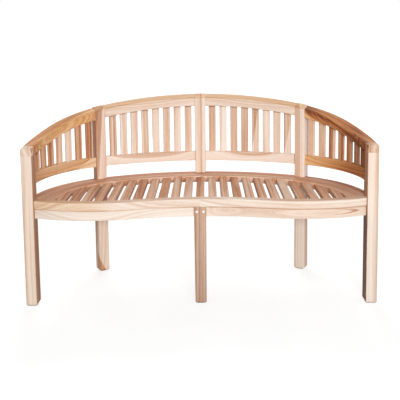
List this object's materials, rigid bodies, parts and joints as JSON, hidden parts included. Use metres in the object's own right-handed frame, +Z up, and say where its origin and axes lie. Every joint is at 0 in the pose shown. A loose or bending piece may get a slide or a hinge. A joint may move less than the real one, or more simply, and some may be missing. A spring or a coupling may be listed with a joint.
{
  "type": "garden bench",
  "caption": "Curved slatted teak garden bench: a bowed back sweeps into the arms, over a slatted seat with a waved front on square legs.",
  "frame": {"origin": "on the floor under the middle of the overall box", "axes": "+X to the right seen from the front, +Y from the front of the seat towards the back, +Z up"},
  "size_m": [1.5, 0.657, 0.852],
  "materials": {
    "post_teak": "bare sanded teak",
    "rail_teak": "bare sanded teak",
    "seat_frame_teak": "bare sanded teak",
    "seat_slat_teak": "bare sanded teak",
    "back_slat_teak": "bare sanded teak",
    "tongue_wood": "bare hardwood",
    "screw_steel": "bright stainless"
  },
  "bodies": {
    "root": {"arm_rail_left": "rail_teak", "arm_rail_right": "rail_teak", "arm_slats_left": "back_slat_teak", "arm_slats_right": "back_slat_teak", "back_post_left": "post_teak", "back_post_middle": "post_teak", "back_post_right": "post_teak", "back_slats_left": "back_slat_teak", "back_slats_right": "back_slat_teak", "board_tongues": "tongue_wood", "front_apron_left": "seat_frame_teak", "front_apron_right": "seat_frame_teak", "front_board_left": "seat_frame_teak", "front_board_right": "seat_frame_teak", "front_leg_middle": "post_teak", "front_post_left": "post_teak", "front_post_right": "post_teak", "leg_screws": "screw_steel", "lower_arm_rail_left": "rail_teak", "lower_arm_rail_right": "rail_teak", "lower_rail_left": "rail_teak", "lower_rail_right": "rail_teak", "seat_rail_arm_left": "seat_frame_teak", "seat_rail_arm_right": "seat_frame_teak", "seat_rail_left": "seat_frame_teak", "seat_rail_right": "seat_frame_teak", "seat_rail_tongues": "tongue_wood", "seat_slat_01": "seat_slat_teak", "seat_slat_02": "seat_slat_teak", "seat_slat_03": "seat_slat_teak", "seat_slat_04": "seat_slat_teak", "seat_slat_05": "seat_slat_teak", "seat_slat_06": "seat_slat_teak", "seat_slat_07": "seat_slat_teak", "seat_slat_08": "seat_slat_teak", "seat_slat_09": "seat_slat_teak", "seat_slat_10": "seat_slat_teak", "seat_slat_11": "seat_slat_teak", "seat_slat_12": "seat_slat_teak", "seat_slat_13": "seat_slat_teak", "seat_slat_14": "seat_slat_teak", "seat_slat_15": "seat_slat_teak", "seat_slat_16": "seat_slat_teak", "seat_slat_17": "seat_slat_teak", "seat_slat_18": "seat_slat_teak", "seat_slat_19": "seat_slat_teak", "seat_slat_20": "seat_slat_teak", "seat_slat_21": "seat_slat_teak", "seat_slat_22": "seat_slat_teak", "seat_slat_23": "seat_slat_teak", "top_rail_left": "rail_teak", "top_rail_right": "rail_teak"}
  },
  "joints": []
}
